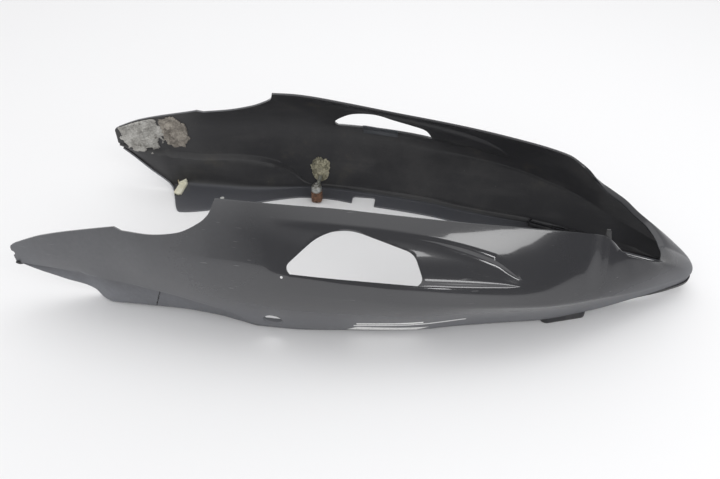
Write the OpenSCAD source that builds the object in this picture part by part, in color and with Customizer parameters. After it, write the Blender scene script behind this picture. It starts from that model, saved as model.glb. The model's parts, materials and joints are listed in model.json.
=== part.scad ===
// Tail fairing of a scooter: one thin moulding of two long side panels that meet at the tail.
// Millimetres, +X to the tail, +Z up, lying on its lower edges as it would on a bench.
// The shell is a loft: a few named rails run from each front end round the tail, every
// section hangs on them, and the same sections are mirrored to the other side.

/* [Overall] */
// How far the front ends reach ahead of the middle
front_reach = 450; // [420:5:480]
// How far the tail tip reaches behind the middle
tail_reach = 450; // [430:5:480]
// Thickness of the moulded wall
wall = 3; // [2:0.25:4]
// Height of the highest point, the seat peak
peak_h = 186; // [170:1:200]
// Half-width over the shoulders where the fairing is widest
shoulder_w = 184; // [170:1:200]

/* [Front arms] */
// Half-width of the arms at their front ends
front_w = 152; // [140:1:165]
// Height of the top edge at the front ends
front_top_h = 99; // [90:1:110]
// Height of the lower corner of the front ends
front_low_h = 68; // [55:1:80]
// Distance from the front ends back to the top corner
corner_back = 157; // [140:1:175]
// Height of the top edge at the corner
corner_h = 142; // [130:1:155]
// Distance from the front ends back to the seat peak
peak_back = 286; // [270:1:310]
// Distance from the front ends back to the lower front corner
low_corner_back = 108; // [90:1:125]
// Radius of the bite in the edge of each front end
bite_r = 5; // [3:0.5:8]

/* [Side panels] */
// Height of the shoulder at the widest place
shoulder_h = 89; // [80:1:98]
// Half-width over the lower edges at the widest place
sill_w = 160; // [150:1:170]
// Half-width between the top edges at the seat peak
crest_w = 136; // [125:1:145]
// How far the lower strip is tucked in behind its crease
tuck = 9; // [4:0.5:12]
// Height of the crease above the lower edge behind the bolt hole
bead_h = 12; // [8:1:18]
// Width of the flange that turns in from the lower edge
flange_w = 27; // [18:1:34]

/* [Window] */
// Distance from the front ends back to the foot of the window
window_back = 375; // [365:1:385]
// Length of the window along its foot
window_l = 156; // [140:1:165]
// Height of the window measured up the panel
window_up = 57; // [48:1:60]
// Height of the window foot above the lower edges
window_h = 117; // [114:1:122]
// Radius of the window corners at the foot
window_r = 8; // [5:0.5:10]
// Depth of the scoop round the window
scoop_d = 5; // [2:0.5:7]

/* [Tail] */
// Distance from the tail tip forward to the notch where the lamp opening starts
notch_ahead = 147; // [135:1:160]
// Half-width of the lamp opening at the notch
notch_w = 76; // [68:1:84]
// Height of the top edge just behind the notch
notch_h = 126; // [118:1:132]
// Distance from the tail tip forward to the back of the lamp opening
lamp_ahead = 45; // [36:1:55]
// Height of the back of the lamp opening
lamp_h = 61; // [55:1:68]
// Height of the tail tip
tip_h = 28; // [26:1:34]
// Height of the lower edge under the tail tip
tip_low_h = 18; // [14:1:19]
// Width of the lip turned in round the lamp opening
lip_w = 8; // [5:0.5:12]

/* [Fixings] */
// Diameter of the fixing hole low in each side
side_hole_d = 26; // [20:1:28]
// Distance from the front ends back to the fixing holes
side_hole_back = 348; // [340:1:360]
// Height of the fixing holes
side_hole_h = 28; // [26:1:32]
// Length of the notch cut in the flange of the +Y side
flange_notch_l = 38; // [20:1:50]
// Depth of the notch cut in the flange of the +Y side
flange_notch_d = 19; // [10:1:20]
// Length of the slot in the flange under each side of the tail
tail_slot_l = 50; // [30:1:60]
// Width of the slots under the tail
tail_slot_w = 12; // [6:0.5:14]

/* [Repairs] */
// Diameter of the rod of the repaired mounting lug
rod_d = 6; // [5:0.5:7]
// Distance from the fixing hole in to the lug bolt
lug_reach = 44.5; // [38:0.5:50]
// Diameter of the lug bolt
bolt_d = 6; // [5:0.5:7]
// Outer diameter of the rusty bush
bush_d = 20; // [16:0.5:24]
// Height of the rusty bush
bush_h = 18; // [14:0.5:20]
// Diameter of the zinc washer and of the rod's eye
eye_d = 17; // [14:0.5:20]
// Thickness of the rod's eye
eye_h = 8; // [7.5:0.5:10]
// Clearance between the bolt and what it passes through
bolt_gap = 0.3; // [0.2:0.05:0.5]
// How far the glue reaches in past the wall
glue_in = 6; // [4:0.5:9]
// Distance that the rod stays short of the outside of the hole
rod_short = 4; // [3:0.5:5]
// Mean thickness of the putty
putty_t = 7; // [4:0.5:10]
// Thickness of the foam pad
foam_t = 5; // [3:0.5:7]
// Thickness of the pad below the window
pad_t = 1.5; // [1:0.25:2.5]

/* [Hidden] */
$fn = 48;

front_x = -front_reach;
tail_x = tail_reach;
corner_x = front_x + corner_back;
peak_x = front_x + peak_back;
low_corner_x = front_x + low_corner_back;
window_x = front_x + window_back;
notch_x = tail_x - notch_ahead;
lamp_x = tail_x - lamp_ahead;
under_x = tail_x - 4;

// Smooth curve through the points [place, value] of a list
function span(list, x) = max([0, for (i = [0 : len(list) - 2]) if (x >= list[i][0]) i]);
function rise(list, i) = (list[i + 1][1] - list[i][1]) / (list[i + 1][0] - list[i][0]);
function tangent(list, i) =
    i == 0 ? rise(list, 0) :
    i == len(list) - 1 ? rise(list, i - 1) :
    rise(list, i - 1) * rise(list, i) <= 0 ? 0 :
    2 * rise(list, i - 1) * rise(list, i) / (rise(list, i - 1) + rise(list, i));
function hermite(a, b, ta, tb, l, u) =
    a * (2*u*u*u - 3*u*u + 1) + ta * l * (u*u*u - 2*u*u + u)
    + b * (3*u*u - 2*u*u*u) + tb * l * (u*u*u - u*u);
function curve(list, x) =
    x <= list[0][0] ? list[0][1] :
    x >= list[len(list) - 1][0] ? list[len(list) - 1][1] :
    let (i = span(list, x), l = list[i + 1][0] - list[i][0])
    hermite(list[i][1], list[i + 1][1], tangent(list, i), tangent(list, i + 1), l, (x - list[i][0]) / l);

// Rails ahead of the notch, as [x, value]
shoulder_plan = [
    [front_x, front_w], [corner_x - 20, front_w + 6], [corner_x + 50, front_w + 19],
    [peak_x, shoulder_w - 2], [-40, shoulder_w], [35, shoulder_w - 2], [103, shoulder_w - 10],
    [184, shoulder_w - 25], [228, shoulder_w - 37], [274, shoulder_w - 57], [notch_x, shoulder_w - 72]];
shoulder_rise = [
    [front_x, shoulder_h - 4], [corner_x, shoulder_h + 2], [0, shoulder_h], [92, shoulder_h - 5],
    [192, shoulder_h - 12], [notch_x, 62]];
crest_plan = [
    [front_x, crest_w - 14], [corner_x, crest_w - 14], [peak_x - 40, crest_w - 4], [peak_x + 30, crest_w],
    [-8, crest_w - 11], [112, crest_w - 21], [192, crest_w - 32], [272, crest_w - 47], [notch_x, notch_w]];
crest_rise = [
    [front_x, peak_h], [peak_x + 20, peak_h], [-48, peak_h - 6], [32, peak_h - 14], [112, peak_h - 22],
    [192, peak_h - 31], [notch_x - 31, peak_h - 44], [notch_x, notch_h]];
lower_plan = [
    [front_x, front_w - 4], [low_corner_x, sill_w - 32], [-242, sill_w - 19], [-186, sill_w - 12],
    [-91, sill_w], [0, sill_w - 9], [83, sill_w - 21], [186, sill_w - 44], [240, sill_w - 54],
    [notch_x, sill_w - 76]];
lower_rise = [
    [front_x, front_low_h], [front_x + 22, front_low_h - 12], [low_corner_x - 17, front_low_h - 51],
    [low_corner_x - 5, 4], [low_corner_x, 0], [130, 0], [240, 3], [notch_x, 8]];

// Height of the trimmed top edge over the arms: front end, corner, seat dip, peak
top_trim = [
    [front_x, front_top_h], [front_x + 50, front_top_h + 20], [corner_x, corner_h]];
dip_trim = [
    [corner_x + 10, corner_h - 3], [corner_x + 43, corner_h - 1], [corner_x + 83, corner_h + 7],
    [peak_x - 18, corner_h + 20], [peak_x - 6, peak_h - 14], [peak_x, peak_h]];
function top_z(x) =
    x <= corner_x ? curve(top_trim, x) :
    x <= corner_x + 10 ? corner_h - 3 * (x - corner_x) / 10 :
    x < peak_x ? curve(dip_trim, x) : crest_z(x);

function crest_z(x) = curve(crest_rise, x);

// Crease of the lower strip, as height above the lower edge
crease_rise = [
    [front_x, 1], [front_x + 22, 8], [low_corner_x - 17, 37], [low_corner_x, 50], [-285, 50], [-211, 42],
    [-182, 34], [-150, 22], [-120, bead_h], [150, bead_h], [notch_x, bead_h / 2]];
crease_tuck = [
    [front_x, 0.5], [front_x + 40, tuck], [-211, tuck], [-125, 2], [150, 2], [notch_x, 1]];

// Fan round the tail: f runs from 0 at the notch to 1 on the middle plane.
// The distance to the tip falls with the square of f, which rounds the tip.
function fan_x(tip, f) = tip - (tip - notch_x) * (1 - f) * (1 - f);
shoulder_fan = [[0, shoulder_w - 72], [0.17, 84], [0.47, 44], [0.72, 22], [1, 0]];
lower_fan = [[0, sill_w - 76], [0.25, 55], [0.54, 32], [0.78, 18], [1, 0]];

stations_ahead = concat(
    [front_x, front_x + 12], [for (x = [front_x + 28 : 18 : corner_x - 8]) x],
    [corner_x, corner_x + 10], [for (k = [1 : 5]) corner_x + 10 + k * (peak_x - corner_x - 28) / 6],
    [peak_x - 18, peak_x - 12, peak_x - 6, peak_x, peak_x + 12],
    [for (k = [1 : 28]) peak_x + 12 + k * (notch_x - peak_x - 24) / 28], [notch_x]);
fan_n = 12;

// Rails in the fan, as [f, value]
shoulder_fan_rise = [[0, 62], [0.17, 50], [0.47, 38], [0.72, tip_h + 3], [1, tip_h]];
lower_fan_rise = [[0, 8], [0.54, tip_low_h - 5], [1, tip_low_h]];

// Flange turned in from the lower edge, wide behind the low front corner
flange_plan = [
    [front_x, 4], [low_corner_x - 7, 4], [low_corner_x, flange_w + 22], [-285, flange_w + 15],
    [-208, flange_w + 7], [-149, flange_w], [190, flange_w], [notch_x, flange_w - 5]];
flange_fan = [[0, flange_w - 5], [0.3, 10], [1, 4]];

// A station is [x, f]; a section point is [x, half-width, height]
function ahead(st) = st[1] == 0;
function inward(st) = ahead(st) ? [0, -1, 0] : [-sin(90 * st[1]), -cos(90 * st[1]), 0];

function shoulder_at(st) =
    ahead(st) ? [st[0], curve(shoulder_plan, st[0]), curve(shoulder_rise, st[0])]
    : [fan_x(tail_x, st[1]), curve(shoulder_fan, st[1]), curve(shoulder_fan_rise, st[1])];
function crest_at(st) =
    ahead(st) ? [st[0], curve(crest_plan, st[0]), crest_z(st[0])]
    : [notch_x + (lamp_x - notch_x) * sin(90 * st[1]), notch_w * cos(90 * st[1]),
       notch_h + (lamp_h - notch_h) * sin(90 * st[1])];
function lower_at(st) =
    ahead(st) ? [st[0], curve(lower_plan, st[0]), curve(lower_rise, st[0])]
    : [fan_x(under_x, st[1]), curve(lower_fan, st[1]), curve(lower_fan_rise, st[1])];

// Share of the way up from shoulder to crest at which the panel is trimmed
function trim_at(st) =
    ahead(st) ? (top_z(st[0]) - curve(shoulder_rise, st[0])) / (crest_z(st[0]) - curve(shoulder_rise, st[0])) : 1;

// Panel above the shoulder: it leans in with the square of the height
function upper_point(st, b, sink) =
    let (s = shoulder_at(st), c = crest_at(st),
         out = [c.x - s.x, c.y - s.y, 0], up = c.z - s.z,
         lean = 2 * b * norm(out),
         away = [inward(st).x * up, inward(st).y * up, -lean] / norm([up, lean]))
    [s.x, s.y, s.z] + out * b * b + [0, 0, up * b] + away * sink;

// Rows of the upper panel: the scoop lies between its upper and lower crease
scoop_top = [[window_x, 0.86], [14, 0.86], [80, 0.83], [119, 0.765], [148, 0.68], [167, 0.6],
    [184, 0.48], [196, 0.4], [notch_x, 0.5]];
scoop_foot = 0.3;
scoop_ramp = [[window_x - 25, 0], [window_x + 30, 0.6], [0, 1], [110, 1], [170, 0.6], [197, 0]];
scoop_rows = [[1, 0], [0.9, 0.75], [0.7, 1], [0.5, 1], [0.3, 1], [0.1, 0.75], [0, 0]];

function lip_share(st) = ahead(st) ? 0 : min(1, 5 * st[1]);
function lip_edge(st) =
    upper_point(st, trim_at(st), 0) + inward(st) * lip_w * lip_share(st) - [0, 0, 0.3 * lip_w * lip_share(st)];
function upper_rows(st) =
    let (b = trim_at(st), top = curve(scoop_top, st[0]), sink = ahead(st) ? scoop_d * curve(scoop_ramp, st[0]) : 0)
    concat(
        [lip_edge(st), upper_point(st, b * (1 - 0.04 * (1 - lip_share(st))), 0)],
        [for (r = scoop_rows) upper_point(st, b * (scoop_foot + (top - scoop_foot) * r[0]), sink * r[1])],
        [upper_point(st, b * scoop_foot / 2, 0)]);

// Side below the shoulder: round at the front, a crisp edge towards the tail
round_plan = [[front_x, 1.7], [80, 1.6], [200, 1.15], [notch_x, 1]];
function side_point(st, c, sink) =
    let (s = shoulder_at(st), l = lower_at(st), p = ahead(st) ? curve(round_plan, st[0]) : 1)
    s + [l.x - s.x, l.y - s.y, 0] * pow(c, p) + [0, 0, (l.z - s.z) * c] + inward(st) * sink;
function crease_share(st) =
    let (h = ahead(st) ? curve(crease_rise, st[0]) : bead_h / 2 * (1 - 0.7 * st[1]))
    1 - h / (shoulder_at(st).z - lower_at(st).z);
function tuck_at(st) = ahead(st) ? curve(crease_tuck, st[0]) : 1 - 0.6 * st[1];
function side_rows(st) =
    let (c = crease_share(st), t = tuck_at(st))
    concat(
        [for (k = [0 : 2]) side_point(st, c * k / 3, 0)],
        [side_point(st, c, 0), side_point(st, c + (1 - c) * 0.12, t), lower_at(st) + inward(st) * 0]);

function flange_at(st) = ahead(st) ? curve(flange_plan, st[0]) : curve(flange_fan, st[1]);
function flange_rows(st) =
    [for (k = [1 : 2]) lower_at(st) + inward(st) * flange_at(st) * k / 2];

function section(st) = concat(upper_rows(st), side_rows(st), flange_rows(st));

half_stations = concat([for (x = stations_ahead) [x, 0]], [for (k = [1 : fan_n]) [notch_x, k / fan_n]]);
half = [for (st = half_stations) section(st)];
flip = [[1, 0, 0], [0, -1, 0], [0, 0, 1]];
// From the front end of one side round the tail to the other front end
outer = concat(
    [for (k = [0 : len(half) - 1]) [for (q = half[k]) flip * q]],
    [for (k = [len(half) - 2 : -1 : 0]) half[k]]);

function unit(v) = v / max(norm(v), 0.000001);
function bend(grid, i, j) =
    let (n = len(grid), m = len(grid[0]),
         along = grid[min(i + 1, n - 1)][j] - grid[max(i - 1, 0)][j],
         before = j > 0 ? unit(cross(along, grid[i][j] - grid[i][j - 1])) : undef,
         after = j < m - 1 ? unit(cross(along, grid[i][j + 1] - grid[i][j])) : undef)
    j == 0 ? after : j == m - 1 ? before : (before + after) / max(1 + before * after, 0.4);
inner = [for (i = [0 : len(outer) - 1]) [for (j = [0 : len(outer[0]) - 1]) outer[i][j] + wall * bend(outer, i, j)]];

// Closed solid between two grids of points
module skin_solid(a, b) {
    n = len(a);
    m = len(a[0]);
    function id(i, j, s) = (s * n + i) * m + j;
    quads = concat(
        [for (i = [0 : n - 2], j = [0 : m - 2]) [id(i, j, 0), id(i, j + 1, 0), id(i + 1, j + 1, 0), id(i + 1, j, 0)]],
        [for (i = [0 : n - 2], j = [0 : m - 2]) [id(i, j, 1), id(i + 1, j, 1), id(i + 1, j + 1, 1), id(i, j + 1, 1)]],
        [for (i = [0 : n - 2]) [id(i, 0, 0), id(i + 1, 0, 0), id(i + 1, 0, 1), id(i, 0, 1)]],
        [for (i = [0 : n - 2]) [id(i, m - 1, 0), id(i, m - 1, 1), id(i + 1, m - 1, 1), id(i + 1, m - 1, 0)]],
        [for (j = [0 : m - 2]) [id(0, j, 0), id(0, j, 1), id(0, j + 1, 1), id(0, j + 1, 0)]],
        [for (j = [0 : m - 2]) [id(n - 1, j, 0), id(n - 1, j + 1, 0), id(n - 1, j + 1, 1), id(n - 1, j, 1)]]);
    faces = [for (q = quads) each [[q[0], q[1], q[2]], [q[0], q[2], q[3]]]];
    polyhedron(points = concat([for (r = a) each r], [for (r = b) each r]), faces = faces, convexity = 8);
}

side_hole_x = front_x + side_hole_back;
side = shoulder_w + 20;

// Outline of the window, drawn up the panel from the front of its foot
module window_outline() {
    intersection() {
        hull() {
            translate([window_r, window_r]) circle(window_r);
            translate([window_l - 99, window_up - 33]) circle(30);
            translate([window_l - 72, window_up - 40]) circle(34);
            translate([window_l - window_r, window_r]) circle(window_r);
        }
        square([window_l, window_up]);
    }
}

// The window prism stands square to the leaning panel
window_mid = [window_x + window_l / 2, 0];
foot_share = (window_h - curve(shoulder_rise, window_mid.x))
    / (crest_z(window_mid.x) - curve(shoulder_rise, window_mid.x));
window_foot = upper_point(window_mid, foot_share, 0);
window_crest = crest_at(window_mid);
lean = atan2(window_foot.y - window_crest.y, window_crest.z - window_foot.z);
module window_cut() {
    translate([window_x, -window_foot.y, window_foot.z]) rotate([90 - lean, 0, 0])
        translate([0, 0, -25]) linear_extrude(60) window_outline();
}
module both_sides() {
    children();
    mirror([0, 1, 0]) children();
}

// The fixing holes stand square to the wall
hole_share = (curve(shoulder_rise, side_hole_x) - side_hole_h)
    / (curve(shoulder_rise, side_hole_x) - curve(lower_rise, side_hole_x));
hole_centre = side_point([side_hole_x, 0], hole_share, 0);
hole_axis = unit(cross(
    side_point([side_hole_x + 10, 0], hole_share, 0) - side_point([side_hole_x - 10, 0], hole_share, 0),
    side_point([side_hole_x, 0], hole_share + 0.1, 0) - side_point([side_hole_x, 0], hole_share - 0.1, 0)));
module along(place, axis) {
    translate(place) rotate([0, acos(axis.z), atan2(axis.y, axis.x)]) children();
}
module side_holes() {
    both_sides() along(hole_centre - 25 * hole_axis, hole_axis) cylinder(h = 50, d = side_hole_d);
}
module front_bites() {
    translate([front_x - bite_r * 0.4, -side, (front_top_h + front_low_h) / 2 + 2]) rotate([-90, 0, 0])
        cylinder(h = 2 * side, r = bite_r);
}

// Openings in the flange: a notch on the +Y side and a slot under each side of the tail
notch_x0 = side_hole_x + 58;
notch_edge = curve(lower_plan, notch_x0) - flange_w;
module flange_notch() {
    translate([notch_x0, notch_edge - 20, -5]) cube([flange_notch_l, flange_notch_d + 20, 10]);
}
tail_slot_x = notch_x - 36;
module tail_slot() {
    slot_y = curve(lower_plan, tail_slot_x) - flange_w / 2;
    turn = atan2(curve(lower_plan, tail_slot_x + 10) - curve(lower_plan, tail_slot_x - 10), 20);
    translate([tail_slot_x, slot_y, -6]) rotate([0, 0, turn]) {
        translate([-(tail_slot_l - tail_slot_w) / 2, 0, 0]) cylinder(h = 24, d = tail_slot_w);
        translate([(tail_slot_l - tail_slot_w) / 2, 0, 0]) cylinder(h = 24, d = tail_slot_w);
        translate([-(tail_slot_l - tail_slot_w) / 2, -tail_slot_w / 2, 0])
            cube([tail_slot_l - tail_slot_w, tail_slot_w, 24]);
    }
}

module tail_shell() {
    color([0.07, 0.07, 0.08]) difference() {
        skin_solid(outer, inner);
        both_sides() window_cut();
        side_holes();
        front_bites();
        flange_notch();
        both_sides() tail_slot();
    }
}

// Pieces that are stuck on share the wall's own points, from station i0 to i1 and row j0 to j1
stations_n = len(outer);
function from_front(x) = stations_n - 1 - span([for (s = stations_ahead) [s, 0]], x);
function patch(i0, i1, j0, j1) = [for (i = [i0 : i1]) [for (j = [j0 : j1]) inner[i][j]]];
function raised(i0, i1, j0, j1, depth) =
    [for (i = [i0 : i1]) [for (j = [j0 : j1]) inner[i][j] + depth[i - i0][j - j0] * unit(bend(inner, i, j))]];
module stuck_on(i0, i1, j0, j1, depth) {
    skin_solid(patch(i0, i1, j0, j1), raised(i0, i1, j0, j1, depth));
}
// Lumpy thickness of a smear of putty, thin at its rim
function lumps(ni, nj, mean, seed) =
    let (r = rands(0.55, 1.35, (ni + 1) * (nj + 1), seed))
    [for (i = [0 : ni]) [for (j = [0 : nj])
        let (rim = i == 0 || i == ni || j == 0 || j == nj)
        mean * (rim ? 0.35 : 1) * r[i * (nj + 1) + j]]];
function flat(ni, nj, t) = [for (i = [0 : ni]) [for (j = [0 : nj]) t]];

// Grey putty over the broken front end of the +Y arm, in two smears
module front_putty() {
    i1 = from_front(front_x + 14);
    i0 = from_front(front_x + 82);
    color([0.38, 0.38, 0.36]) stuck_on(i0, i1, 1, 12, lumps(i1 - i0, 11, putty_t, 5));
}
module rear_putty() {
    i1 = from_front(front_x + 84);
    i0 = from_front(front_x + 122);
    color([0.34, 0.33, 0.31]) stuck_on(i0, i1, 2, 12, lumps(i1 - i0, 10, putty_t * 0.9, 8));
}
// Cream foam pad inside the low front corner of the +Y arm
module foam_pad() {
    i1 = from_front(low_corner_x + 2);
    color([0.86, 0.83, 0.68]) stuck_on(i1 - 1, i1, 14, 15, flat(1, 1, foam_t));
}
// Rectangular pad inside the +Y panel below its window
module window_pad() {
    i1 = from_front(window_x + 48);
    i0 = from_front(window_x + 100);
    color([0.16, 0.17, 0.18]) stuck_on(i0, i1, 9, 10, flat(i1 - i0, 1, pad_t));
}

// Glue that fills the hole of the +Y side and holds the rod
glue_l = wall + glue_in;
bolt_y = hole_centre.y - lug_reach;
module rod_bore(d) {
    translate([side_hole_x, bolt_y, eye_z + eye_h / 2]) rotate([-90, 0, 0])
        cylinder(h = lug_reach - rod_short, d = d);
}
module hole_glue() {
    color([0.62, 0.56, 0.38]) difference() {
        along(hole_centre - glue_l * hole_axis, hole_axis) cylinder(h = glue_l, d = side_hole_d);
        rod_bore(rod_d);
    }
}
bush_z = 2;
eye_z = bush_z + bush_h;
// Pale rod that carries the lug, with a flat eye at its end
module lug_rod() {
    color([0.72, 0.74, 0.72]) difference() {
        union() {
            rod_bore(rod_d);
            translate([side_hole_x, bolt_y, eye_z]) cylinder(h = eye_h, d = eye_d);
        }
        translate([side_hole_x, bolt_y, eye_z - 1]) cylinder(h = eye_h + 2, d = bolt_d + 2 * bolt_gap);
    }
}
// Zinc bolt with its washer, standing in the bush
module lug_bolt() {
    color([0.66, 0.66, 0.64]) translate([side_hole_x, bolt_y, 0]) {
        translate([0, 0, 1]) cylinder(h = eye_z + eye_h - 1, d = bolt_d);
        translate([0, 0, eye_z + eye_h]) cylinder(h = 1.5, d = eye_d - 1);
        translate([0, 0, eye_z + eye_h + 1.5]) cylinder(h = 4, d = 11, $fn = 6);
    }
}
// Rusty bush, a short thick tube
module lug_bush() {
    color([0.42, 0.28, 0.2]) translate([side_hole_x, bolt_y, bush_z]) difference() {
        cylinder(h = bush_h, d = bush_d);
        translate([0, 0, -1]) cylinder(h = bush_h + 2, d = bolt_d + 2 * bolt_gap);
    }
}

tail_shell();
front_putty();
rear_putty();
foam_pad();
window_pad();
hole_glue();
lug_rod();
lug_bolt();
lug_bush();
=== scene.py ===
import json
import math
import bpy
import numpy as np
from mathutils import Matrix, Vector, noise

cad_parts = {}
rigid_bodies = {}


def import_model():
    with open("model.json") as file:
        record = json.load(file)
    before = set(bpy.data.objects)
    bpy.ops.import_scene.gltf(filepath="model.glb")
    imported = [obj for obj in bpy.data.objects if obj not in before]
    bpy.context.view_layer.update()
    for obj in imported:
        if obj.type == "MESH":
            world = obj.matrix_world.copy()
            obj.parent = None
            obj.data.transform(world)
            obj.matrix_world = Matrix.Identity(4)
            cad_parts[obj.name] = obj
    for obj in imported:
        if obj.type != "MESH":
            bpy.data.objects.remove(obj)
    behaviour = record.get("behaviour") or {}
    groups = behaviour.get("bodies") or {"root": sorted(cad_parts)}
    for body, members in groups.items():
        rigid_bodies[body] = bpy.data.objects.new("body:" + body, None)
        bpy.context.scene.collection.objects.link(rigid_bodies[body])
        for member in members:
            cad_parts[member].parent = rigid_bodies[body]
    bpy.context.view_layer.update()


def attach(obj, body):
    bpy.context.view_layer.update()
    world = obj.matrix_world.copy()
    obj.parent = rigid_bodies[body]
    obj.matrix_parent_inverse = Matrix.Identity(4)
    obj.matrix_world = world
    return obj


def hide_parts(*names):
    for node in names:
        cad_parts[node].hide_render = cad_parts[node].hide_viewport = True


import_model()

mm = 0.001

# Camera at the photograph's angle. The lens is worked out for a frame 720 wide and 479 high
view = {
    "place": (73.5, -666.4, 587.5),   # mm, beside and above the near panel
    "down": 39.73,                    # degrees below the horizon
    "turn": 7.44,                     # degrees towards the front ends
    "focal": 597.3,                   # focal length in pixels of that frame
    "frameWidth": 720,
}


def makeCamera():
    down, turn = math.radians(view["down"]), math.radians(view["turn"])
    ahead = Vector((-math.sin(turn) * math.cos(down), math.cos(turn) * math.cos(down), -math.sin(down)))
    right = Vector((math.cos(turn), math.sin(turn), 0))
    up = right.cross(ahead)
    data = bpy.data.cameras.new("camera")
    data.sensor_fit = "HORIZONTAL"
    data.sensor_width = 36
    data.lens = view["focal"] / view["frameWidth"] * 36
    camera = bpy.data.objects.new("camera", data)
    bpy.context.collection.objects.link(camera)
    turned = Matrix((right, up, -ahead)).transposed().to_4x4()
    camera.matrix_world = Matrix.Translation(Vector(view["place"]) * mm) @ turned
    bpy.context.scene.camera = camera


makeCamera()
print("camera set")


# Shader maths: a socket that takes part in plain expressions
class Socket:
    def __init__(self, tree, out):
        self.tree, self.out = tree, out

    def maths(self, operation, *values):
        return addNode(self.tree, "ShaderNodeMath", {"operation": operation}, dict(enumerate(values)))

    def __add__(self, other): return self.maths("ADD", self, other)
    def __sub__(self, other): return self.maths("SUBTRACT", self, other)
    def __rsub__(self, other): return self.maths("SUBTRACT", other, self)
    def __mul__(self, other): return self.maths("MULTIPLY", self, other)
    def less(self, other): return self.maths("LESS_THAN", self, other)
    def more(self, other): return self.maths("GREATER_THAN", self, other)
    def size(self): return self.maths("ABSOLUTE", self)
    def step(self, low, high):
        return addNode(self.tree, "ShaderNodeMapRange", {"interpolation_type": "SMOOTHSTEP"},
                       {"Value": self, "From Min": low, "From Max": high})


def addNode(tree, kind, settings=None, inputs=None, out=0):
    node = tree.nodes.new(kind)
    for name, value in (settings or {}).items():
        setattr(node, name, value)
    for name, value in (inputs or {}).items():
        if isinstance(value, Socket):
            tree.links.new(value.out, node.inputs[name])
        else:
            node.inputs[name].default_value = value
    return Socket(tree, node.outputs[out])


# The Mix node's colour sockets are inputs 6 and 7 and output 2
def mixColours(tree, share, first, second):
    node = tree.nodes.new("ShaderNodeMix")
    node.data_type = "RGBA"
    for place, value in ((0, share), (6, first), (7, second)):
        if isinstance(value, Socket):
            tree.links.new(value.out, node.inputs[place])
        else:
            node.inputs[place].default_value = value if place == 0 else (*value, 1)
    return Socket(tree, node.outputs[2])


def noiseField(tree, coords, scale, detail=4, rough=0.6):
    return addNode(tree, "ShaderNodeTexNoise", {},
                   {"Vector": coords, "Scale": scale, "Detail": detail, "Roughness": rough})


# Coordinates drawn out along some axes, for streaks and scratches
def drawnOut(tree, coords, scale, turn):
    return addNode(tree, "ShaderNodeMapping", {},
                   {"Vector": coords, "Scale": scale, "Rotation": (0, turn, 0)})


# 1 within a small round spot on the plane of two coordinates
def spotAt(first, second, centre, radius):
    away, aside = first - centre[0], second - centre[1]
    return (away * away + aside * aside).less(radius**2)


# Material with its constant inputs set; coords are the object's own
def newMaterial(name, constants):
    material = bpy.data.materials.new(name)
    material.use_nodes = True
    tree = material.node_tree
    shader = tree.nodes["Principled BSDF"]
    for socket, value in constants.items():
        shader.inputs[socket].default_value = value
    coords = addNode(tree, "ShaderNodeTexCoord", out=3)
    return material, tree, shader, coords


def wire(tree, shader, links):
    for name, value in links.items():
        tree.links.new(value.out, shader.inputs[name])


def bumpOf(tree, height, strength, distance):
    return addNode(tree, "ShaderNodeBump", {}, {"Height": height, "Strength": strength, "Distance": distance})


def split(tree, coords):
    node = tree.nodes.new("ShaderNodeSeparateXYZ")
    tree.links.new(coords.out, node.inputs[0])
    return [Socket(tree, out) for out in node.outputs]


print("shader helpers ready")

# The moulding's driving sizes in millimetres. H is a height, L a length, R a radius and D a depth. W is half
# the moulding's width, or a flange's, lip's or slot's own width. Back counts from the front end, and Ahead
# counts forwards from the tail, or from the window's rear end
shell = {
    "frontX": -442, "tailX": 450, "wall": 3.0,
    "frontW": 152, "frontTopH": 99, "frontLowH": 69, "noseR": 8, "biteR": 4,
    "cornerBack": 149, "cornerH": 142, "peakBack": 278, "peakH": 186, "lowCornerBack": 94,
    "shoulderW": 184, "shoulderH": 89, "sillW": 160, "crestW": 136,
    "tuck": 9, "beadH": 9, "creaseH": 57, "footR": 14, "flangeW": 32, "flangeMore": 50,
    "windowBack": 366, "windowL": 156, "windowUp": 56, "windowH": 115.5, "windowR": 8, "scoopD": 5,
    "windowFrontR": 26, "windowFrontAhead": 99, "windowBrowR": 60, "windowBrowAhead": 88, "windowRearR": 20,
    "notchAhead": 147, "notchW": 76, "notchH": 126, "lampAhead": 45, "lampH": 61, "lipW": 8,
    "tipH": 28, "tipLowH": 18, "underAhead": 4,
    "sideHoleR": 13, "sideHoleBack": 340, "sideHoleH": 28,
    "flangeNotchBack": 398, "flangeNotchL": 38, "flangeNotchD": 19, "nearNotchL": 44, "nearNotchEdge": 145,
    "tailSlotAhead": 34, "tailSlotL": 56, "tailSlotW": 11, "tailSlotH": 12,
}
frontX = shell["frontX"]
cornerX = frontX + shell["cornerBack"]
peakX = frontX + shell["peakBack"]
lowCornerX = frontX + shell["lowCornerBack"]
windowX = frontX + shell["windowBack"]
sideHoleX = frontX + shell["sideHoleBack"]
notchX = shell["tailX"] - shell["notchAhead"]
lampX = shell["tailX"] - shell["lampAhead"]
underX = shell["tailX"] - shell["underAhead"]
flangeNotchX = frontX + shell["flangeNotchBack"]


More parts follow.
